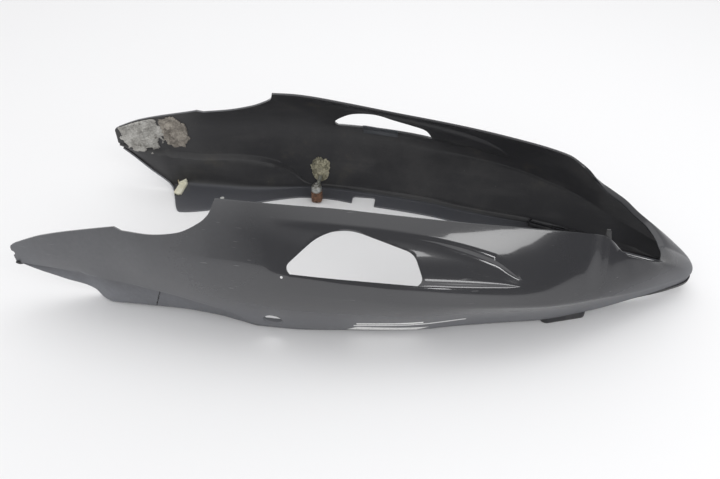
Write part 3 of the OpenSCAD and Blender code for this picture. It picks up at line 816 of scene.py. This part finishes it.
def roughness(points, scale, seed, octaves=4):
    shift = Vector((seed * 7.3, seed * 3.1, seed * 5.7))
    flatPoints = points.reshape(-1, 3)
    values = [noise.fractal(Vector(p) * scale + shift, 0.9, 2.1, octaves) for p in flatPoints]
    return np.array(values).reshape(points.shape[:-1])


# Two smears of grey putty on the broken front end; a centre is x, z and half the width and height in mm
putty = {
    "names": ("front_putty", "rear_putty"), "centres": ((-397, 95, 37, 29), (-341, 97, 24, 27)),
    "thick": (5.5, 6.5), "ragged": 0.55,
    "shades": (((0.58, 0.57, 0.54), (0.33, 0.32, 0.30)), ((0.46, 0.42, 0.37), (0.22, 0.20, 0.175))),
    "grains": (0.56, 0.54, 0.50), "stain": (0.10, 0.085, 0.065),
}


def makePuttyMaterial(name, pale, dark, seed):
    material, tree, shader, coords = newMaterial(name, {"Roughness": 0.85, "Specular IOR Level": 0.3})
    clouds = noiseField(tree, coords, 55 + seed, 6, 0.7)
    fine = noiseField(tree, coords, 420, 4, 0.7)
    colour = mixColours(tree, clouds.step(0.36, 0.66), dark, pale)
    colour = mixColours(tree, fine.step(0.58, 0.72) * 0.6, colour, putty["grains"])
    stain = noiseField(tree, coords, 90, 4, 0.6).step(0.60, 0.72) * 0.65
    colour = mixColours(tree, stain, colour, putty["stain"])
    wire(tree, shader, {"Base Color": colour, "Normal": bumpOf(tree, clouds + fine * 0.4, 0.7, 0.003)})
    return material


def makePutty():
    firstRow = rowSteps["lip"] + 1
    points, facing = innerPatch(stationAt(-441), stationAt(-308), firstRow, firstRow + 47, 4)
    for k, (x, z, halfX, halfZ) in enumerate(putty["centres"]):
        away = ((points[..., 0] - x) / halfX)**2 + ((points[..., 2] - z) / halfZ)**2
        field = 1.12 - away + putty["ragged"] * roughness(points, 0.075, k + 2)
        lumps = 0.72 + 0.55 * roughness(points, 0.13, k + 8) + 0.22 * roughness(points, 0.5, k + 4, 3)
        heights = putty["thick"][k] * np.sqrt(np.clip(field, 0, 1)) * np.clip(lumps, 0.15, 2) + 0.15
        heights = np.where(field > 0, heights, -1)
        name, (pale, dark) = putty["names"][k], putty["shades"][k]
        material = makePuttyMaterial(name + " grey", pale, dark, k * 7)
        layerPiece(name + "_smear", points, facing, heights, 0.5, material, name)


makePutty()
print("putty made")


# How far a value is inside a range
def insetOf(value, low, high):
    return np.minimum(value - low, high - value)


# Foam pad over the low front corner: its range of x and of y, its top and thickness in mm
foam = {"x": (-345, -331), "y": (106, 146), "top": 13, "thick": 4.0,
        "cream": (0.78, 0.76, 0.62), "yellowed": (0.70, 0.64, 0.46),
        "brown": (0.33, 0.22, 0.10), "brownTo": -0.3455}


def makeFoam():
    lastRow = grid.shape[1] - 1
    points, facing = innerPatch(stationAt(-352), stationAt(-318), lastRow - 17, lastRow, 3)
    inset = np.minimum(insetOf(points[..., 0], *foam["x"]), insetOf(points[..., 1], *foam["y"]))
    inset = np.minimum(inset, foam["top"] - points[..., 2])
    heights = foam["thick"] * np.clip(0.55 + inset / 2.5, 0.3, 1) + 0.25 * roughness(points, 0.3, 3)
    heights = np.where(inset > -0.6, heights, -1)
    material, tree, shader, coords = newMaterial("cream foam", {"Roughness": 0.9, "Specular IOR Level": 0.2})
    x = split(tree, coords)[0]
    yellowed = noiseField(tree, coords, 70, 4).step(0.45, 0.7) * 0.5
    colour = mixColours(tree, yellowed, foam["cream"], foam["yellowed"])
    colour = mixColours(tree, (x - foam["brownTo"]).step(0.0, 0.003), foam["brown"], colour)
    pores = noiseField(tree, coords, 900, 3, 0.7)
    wire(tree, shader, {"Base Color": colour, "Normal": bumpOf(tree, pores, 0.5, 0.0006)})
    layerPiece("foam_strip", points, facing, heights, 0.5, material, "foam_pad")


# Dark pad below the window, lower by drop at its rear end
windowPad = {"x": (-32, 25), "z": (103.5, 123), "drop": 3, "thick": 1.6,
             "dark": (0.055, 0.06, 0.068), "dusty": (0.11, 0.115, 0.125)}


def makeWindowPad():
    points, facing = innerPatch(stationAt(-38), stationAt(31), rowSteps["lip"] + 14, rowSteps["lip"] + 44, 3)
    start, end = windowPad["x"]
    drop = (points[..., 0] - start) / (end - start) * windowPad["drop"]
    inset = np.minimum(insetOf(points[..., 0], start, end), insetOf(points[..., 2] + drop, *windowPad["z"]))
    heights = np.where(inset > 0, windowPad["thick"] * np.clip(0.5 + inset / 1.2, 0.5, 1), -1)
    material, tree, shader, coords = newMaterial("black tape", {"Roughness": 0.5, "Specular IOR Level": 0.4})
    grain = noiseField(tree, coords, 500, 3, 0.7)
    dusty = noiseField(tree, coords, 26, 5).step(0.4, 0.7) * 0.7
    colour = mixColours(tree, dusty, windowPad["dark"], windowPad["dusty"])
    wire(tree, shader, {"Base Color": colour, "Normal": bumpOf(tree, grain, 0.25, 0.0005)})
    layerPiece("window_strip", points, facing, heights, 0.4, material, "window_pad")


makeFoam()
makeWindowPad()
print("pads made")

# Ragged glue round the rod, thickest in a ring, with a plug in the +Y fixing hole
glue = {"x": -103, "z": 37, "reach": 16.0, "thick": 6.0, "ringR": 9.5, "ringW": 5.0, "plug": 2.2,
        "dark": (0.10, 0.095, 0.06), "pale": (0.46, 0.43, 0.31), "strings": (0.66, 0.64, 0.54)}


def makeGlueMaterial():
    material, tree, shader, coords = newMaterial("old glue", {"Roughness": 0.45, "Specular IOR Level": 0.5})
    clouds = noiseField(tree, coords, 130, 6, 0.75)
    stringy = noiseField(tree, coords, 300, 5, 0.8)
    colour = mixColours(tree, clouds.step(0.36, 0.62), glue["dark"], glue["pale"])
    colour = mixColours(tree, stringy.step(0.55, 0.70) * 0.7, colour, glue["strings"])
    wire(tree, shader, {"Base Color": colour, "Normal": bumpOf(tree, clouds + stringy * 0.5, 0.8, 0.002)})
    return material


def makeGlue():
    firstRow = sum(rowSteps[part] for part in ("lip", "brow", "scoop", "shoulder")) + 1
    points, facing = innerPatch(stationAt(-130), stationAt(-76), firstRow, grid.shape[1] - 8, 5)
    across, up = points[..., 0] - glue["x"], (points[..., 2] - glue["z"]) * 0.95
    away, turn = np.hypot(across, up), np.arctan2(up, across)
    rays = 0.05 * np.sin(turn * 13 + 1.3) + 0.04 * np.sin(turn * 29 + 0.4)
    field = 1.1 + rays - (away / glue["reach"])**2 + 0.3 * roughness(points, 0.12, 6)
    ring = np.exp(-((away - glue["ringR"]) / glue["ringW"])**2)
    lumps = np.clip(0.8 + 0.5 * roughness(points, 0.25, 9), 0.3, 2)
    heights = glue["thick"] * (0.25 + 0.75 * ring) * np.sqrt(np.clip(field, 0, 1)) * lumps + 0.2
    fromHole = np.hypot(points[..., 0] - holeCentre[0], points[..., 2] - holeCentre[2])
    inHole = fromHole < shell["sideHoleR"] + 1.2
    heights, root = np.where((field > 0) | inHole, heights, -1), np.where(inHole, glue["plug"], 0.4)
    layerPiece("glue_ring", points, facing, heights, root, makeGlueMaterial(), "hole_glue")


makeGlue()
print("glue made")


# Turned piece from a profile of (radius, height); square turns its outline towards a rounded square
def turned(name, profile, steps, square=0.0):
    verts, faces = [], []
    for radius, height in profile:
        for k in range(steps):
            turn = math.tau * k / steps
            wide = radius * (1 + square * (1 / max(abs(math.cos(turn)), abs(math.sin(turn))) - 1))
            verts.append((wide * math.cos(turn) * mm, wide * math.sin(turn) * mm, height * mm))
    count = len(profile)
    for i in range(count):
        nextRing = (i + 1) % count
        if profile[i][0] == 0 and profile[nextRing][0] == 0:
            continue
        for k in range(steps):
            k2 = (k + 1) % steps
            faces.append([i * steps + k, i * steps + k2, nextRing * steps + k2, nextRing * steps + k])
    mesh = bpy.data.meshes.new(name)
    mesh.from_pydata(verts, [], faces)
    mesh.update()
    return placed(name, mesh)


def finished(piece, matrix, material, node=None, width=0.4):
    piece.data.transform(matrix)
    bevelled(piece, width, 35)
    piece.data.materials.append(material)
    return declared(piece, node)


# Rusty bush, pale rod with its eye, zinc washer and bolt. A finish is its pale and dark colour, roughness,
# scale of grain and metallic
lug = {
    "x": -102, "y": 126.1, "boltR": 3.0, "gap": 0.3, "rodR": 3.0, "rodEnd": 166, "eyeR": 8.5, "eyeH": 8,
    "bushR": 8.8, "bushZ": 2, "bushH": 18, "bushSquare": 0.42, "washerR": 8.0, "washerH": 1.5, "headR": 5.4,
    "rust": ((0.21, 0.105, 0.06), (0.07, 0.04, 0.028), 0.62, 260, 0.1),
    "pale metal": ((0.62, 0.64, 0.62), (0.36, 0.37, 0.35), 0.3, 200, 0.85),
    "zinc": ((0.60, 0.60, 0.57), (0.33, 0.32, 0.29), 0.28, 320, 1.0),
}


def metal(name):
    pale, dark, rough, scale, metallic = lug[name]
    material, tree, shader, coords = newMaterial(name, {"Metallic": metallic})
    clouds = noiseField(tree, coords, scale, 5, 0.7)
    fine = noiseField(tree, coords, scale * 6, 3, 0.7)
    colour = mixColours(tree, clouds.step(0.38, 0.66), pale, dark)
    wire(tree, shader, {"Base Color": colour, "Roughness": clouds * 0.25 + rough,
                        "Normal": bumpOf(tree, fine + clouds, 0.35, 0.0008)})
    return material


def makeLug():
    x, y, bore, shankR = lug["x"], lug["y"], lug["boltR"] + lug["gap"], lug["boltR"]
    foot, bushTop = lug["bushZ"], lug["bushZ"] + lug["bushH"]
    eyeTop, outer = bushTop + lug["eyeH"], lug["bushR"]
    upright = Matrix.Translation(Vector((x, y, 0)) * mm)
    bush = turned("bush", [(bore, foot), (outer, foot), (outer + 0.3, foot + 6), (outer, bushTop - 0.2),
                           (outer - 1.4, bushTop), (bore, bushTop)], 72, lug["bushSquare"])
    finished(bush, upright, metal("rust"), "lug_bush", 0.5)

    paleMetal = metal("pale metal")
    eye = turned("eye", [(bore, bushTop), (lug["eyeR"], bushTop), (lug["eyeR"], eyeTop), (bore, eyeTop)], 64)
    finished(eye, upright, paleMetal, "lug_rod", 0.7)
    start, end, rodR = lug["eyeR"] - 1.5, lug["rodEnd"] - y, lug["rodR"]
    rod = turned("rod", [(0, start), (rodR * 1.35, start), (rodR * 1.2, 15), (rodR, 18),
                         (rodR, end), (0, end)], 40)
    middle = Matrix.Translation(Vector((x, y, bushTop + lug["eyeH"] / 2)) * mm)
    finished(rod, middle @ Matrix.Rotation(-math.pi / 2, 4, "X"), paleMetal)

    zinc, head, wide = metal("zinc"), lug["headR"], lug["washerR"]
    seat = eyeTop + lug["washerH"]
    washer = turned("washer", [(0, eyeTop), (wide, eyeTop), (wide, seat), (6.6, seat), (6.4, seat + 0.8),
                               (5.0, seat + 0.8), (5.0, seat), (0, seat)], 64)
    finished(washer, upright, zinc, "lug_bolt", 0.25)
    hexagon = turned("bolt_head", [(0, seat), (head, seat), (head, seat + 3.5), (head - 0.7, seat + 4.0),
                                   (2.2, seat + 4.0), (1.8, seat + 3.1), (0, seat + 3.1)], 6)
    finished(hexagon, upright, zinc, width=0.3)
    shank = turned("bolt_shank", [(0, 1), (shankR, 1), (shankR, eyeTop), (0, eyeTop)], 32)
    finished(shank, upright, zinc)


makeLug()
print("lug made")


# Cups with bars round the slots in the feet of the tail, and the hook that stands at the -Y notch
fittings = {
    "cupL": 62, "cupW": 15, "cupWall": 2, "cupFoot": 0.6, "cupH": 13.5, "barW": 2.4, "barFoot": 7.0,
    "crossFoot": 6.0, "crossW": 2, "hookH": 20, "hookW": 8, "hookT": 2.5, "hookBack": -7,
    "black": (0.018, 0.018, 0.021), "dusty": (0.10, 0.097, 0.09),
}
boxFaces = ((3, 2, 1, 0), (4, 5, 6, 7), (0, 1, 5, 4), (1, 2, 6, 5), (2, 3, 7, 6), (3, 0, 4, 7))


def stadium(length, width, steps=14):
    radius, straight = width / 2, (length - width) / 2
    turns = [math.pi * (k / steps - 0.5) for k in range(steps + 1)]
    right = [(straight + radius * math.cos(turn), radius * math.sin(turn)) for turn in turns]
    return right + [(-x, -y) for x, y in right]


def makeCup(side, name):
    length, width, wall = fittings["cupL"], fittings["cupW"], fittings["cupWall"]
    low, high = fittings["cupFoot"], fittings["cupH"]
    outer, inner = stadium(length, width), stadium(length - 2 * wall, width - 2 * wall)
    count = len(outer)
    rings = ((outer, low), (outer, high), (inner, high), (inner, low))
    verts = [(x, y, z) for ring, z in rings for x, y in ring]
    faces = []
    for ring in range(4):
        this, following = ring * count, (ring + 1) % 4 * count
        for k in range(count):
            k2 = (k + 1) % count
            faces.append([this + k, this + k2, following + k2, following + k])
    halfBar, crossX = fittings["barW"] / 2, length * 0.12
    bars = [(-length / 2 + 1.5, -halfBar, fittings["barFoot"], length / 2 - 1.5, halfBar, high - 0.6),
            (crossX, -width / 2 + 1, fittings["crossFoot"],
             crossX + fittings["crossW"], width / 2 - 1, high - 1.2)]
    for x0, y0, z0, x1, y1, z1 in bars:
        base = len(verts)
        verts += [(x, y, z) for z in (z0, z1) for x, y in ((x0, y0), (x1, y0), (x1, y1), (x0, y1))]
        faces += [[base + v for v in face] for face in boxFaces]
    mesh = bpy.data.meshes.new("cup")
    mesh.from_pydata([(x * mm, y * mm, z * mm) for x, y, z in verts], [], faces)
    mesh.update()
    overSlot = Matrix.Translation(Vector((slotX, side * slotY, 0)) * mm)
    along = Matrix.Rotation(side * slotTurn, 4, "Z")
    finished(placed(name, mesh), overSlot @ along, fittingBlack)


def makeHook():
    wide, high, thick = fittings["hookW"], fittings["hookH"], fittings["hookT"]
    outline = [(0, 0), (wide, 0), (wide - 1, 7), (wide - 2.5, 12), (wide - 4, high - 2), (wide - 5, high),
               (-1.5, high), (-0.5, 9)]
    count = len(outline)
    verts = [(x * mm, y * mm, z * mm) for y in (0, thick) for x, z in outline]
    faces = [list(range(count)), list(range(2 * count - 1, count - 1, -1))]
    faces += [[k, k + count, (k + 1) % count + count, (k + 1) % count] for k in range(count)]
    mesh = bpy.data.meshes.new("hook")
    mesh.from_pydata(verts, [], faces)
    mesh.update()
    place = Vector((notchX + fittings["hookBack"], -shell["notchW"] - 0.6, shell["notchH"] - 6)) * mm
    finished(placed("notch_hook", mesh), Matrix.Translation(place), fittingBlack, width=0.5)


def makeFittingBlack():
    material, tree, shader, coords = newMaterial("moulded black", {"Specular IOR Level": 0.5})
    clouds = noiseField(tree, coords, 40, 5, 0.65)
    fine = noiseField(tree, coords, 350, 3, 0.7)
    dust = clouds.step(0.45, 0.75) * 0.5 + fine.step(0.6, 0.75) * 0.15
    colour = mixColours(tree, dust, fittings["black"], fittings["dusty"])
    wire(tree, shader, {"Base Color": colour, "Roughness": clouds * 0.3 + 0.25,
                        "Normal": bumpOf(tree, fine, 0.15, 0.0006)})
    return material


fittingBlack = makeFittingBlack()
makeCup(1, "tail_cup_left")
makeCup(-1, "tail_cup_right")
makeHook()
print("cups and hook made")

# Crumbs scattered over the smears of putty
crumbs = {"Density": 26000.0, "Smallest": 0.35, "Largest": 1.0, "Radius": 0.0011}
crumbSeed = 4


def crumbTree(material):
    tree = bpy.data.node_groups.new("crumbs", "GeometryNodeTree")
    tree.interface.new_socket("Geometry", in_out="INPUT", socket_type="NodeSocketGeometry")
    for name in crumbs:
        tree.interface.new_socket(name, in_out="INPUT", socket_type="NodeSocketFloat")
    tree.interface.new_socket("Seed", in_out="INPUT", socket_type="NodeSocketInt")
    tree.interface.new_socket("Geometry", in_out="OUTPUT", socket_type="NodeSocketGeometry")
    given = tree.nodes.new("NodeGroupInput")
    value = {name: Socket(tree, given.outputs[name]) for name in ("Geometry", "Seed", *crumbs)}
    points = addNode(tree, "GeometryNodeDistributePointsOnFaces", {},
                     {"Mesh": value["Geometry"], "Density": value["Density"], "Seed": value["Seed"]})
    ball = addNode(tree, "GeometryNodeMeshIcoSphere", {}, {"Radius": value["Radius"], "Subdivisions": 1})
    grown = addNode(tree, "FunctionNodeRandomValue", {},
                    {2: value["Smallest"], 3: value["Largest"], "Seed": value["Seed"]}, 1)
    many = addNode(tree, "GeometryNodeInstanceOnPoints", {},
                   {"Points": points, "Instance": ball, "Scale": grown})
    real = addNode(tree, "GeometryNodeRealizeInstances", {}, {"Geometry": many})
    done = addNode(tree, "GeometryNodeSetMaterial", {}, {"Geometry": real, "Material": material})
    result = tree.nodes.new("NodeGroupOutput")
    tree.links.new(done.out, result.inputs["Geometry"])
    return tree


def makeCrumbs():
    for k, name in enumerate(putty["names"]):
        smear = bpy.data.objects[name + "_smear"].data
        piece = placed(name + "_crumbs", smear.copy())
        modifier = piece.modifiers.new("crumbs", "NODES")
        modifier.node_group = crumbTree(smear.materials[0])
        values = {**crumbs, "Seed": crumbSeed + k}
        for item in modifier.node_group.interface.items_tree:
            if item.in_out == "INPUT" and item.name in values:
                modifier[item.identifier] = values[item.name]
        declared(settle(piece))


makeCrumbs()
print("crumbs made")


def makeFloor():
    mesh = bpy.data.meshes.new("floor")
    mesh.from_pydata([(-6, -6, 0), (6, -6, 0), (6, 6, 0), (-6, 6, 0)], [], [(0, 1, 2, 3)])
    floor = placed("floor", mesh)
    pale = newMaterial("pale floor", {"Base Color": (0.85, 0.85, 0.86, 1), "Roughness": 0.6})[0]
    mesh.materials.append(pale)


makeFloor()

# Lamps as place, aim, size in metres and power in watts
lamps = {
    "ceiling softbox": ((0.2, 0.5, 1.9), (0, 0, 0), (1.8, 1.2), 8),
    "window panel": ((1.3, -1.55, 1.75), (1.3, -1.55, 0), (1.0, 0.85), 11),
    "side strip": ((0.95, -2.2, 0.55), (0.1, -0.15, 0.1), (0.12, 0.4), 1.3),
}


def makeLamp(name, place, aim, size, power):
    data = bpy.data.lights.new(name, "AREA")
    data.shape, data.size, data.size_y, data.energy = "RECTANGLE", size[0], size[1], power
    lamp = bpy.data.objects.new(name, data)
    bpy.context.collection.objects.link(lamp)
    lamp.location = place
    lamp.rotation_euler = (Vector(aim) - Vector(place)).to_track_quat("-Z", "Y").to_euler()


for lampName, lampValues in lamps.items():
    makeLamp(lampName, *lampValues)


# White behind the object. In reflections the room is dim on the camera's side, and bright behind the object,
# overhead and at the left
roomLight = {"overhead": 0.7, "left": 0.55, "camera side": 0.25, "fill": 0.93}


def makeWorld():
    world = bpy.data.worlds.new("studio")
    bpy.context.scene.world = world
    world.use_nodes = True
    tree = world.node_tree
    x, y, z = split(tree, addNode(tree, "ShaderNodeTexCoord", out=0))
    room = z.step(0.45, 0.98) * roomLight["overhead"] + (x * -1).step(0.1, 0.65) * roomLight["left"]
    room = room + y.step(-0.15, 0.3) + roomLight["camera side"]
    room = room.maths("MINIMUM", room, 1.0)
    path = tree.nodes.new("ShaderNodeLightPath")
    seen = Socket(tree, path.outputs["Is Camera Ray"])
    mirrored = Socket(tree, path.outputs["Is Glossy Ray"]) + Socket(tree, path.outputs["Is Transmission Ray"])
    mirrored = mirrored.maths("MINIMUM", mirrored, 1.0) * (1 - seen)
    strength = seen + mirrored * room + (1 - seen) * (1 - mirrored) * roomLight["fill"]
    background = tree.nodes["Background"]
    background.inputs["Color"].default_value = (1, 1, 1, 1)
    tree.links.new(strength.out, background.inputs["Strength"])


makeWorld()
bpy.context.scene.view_settings.view_transform = "Standard"
print("stage lit")
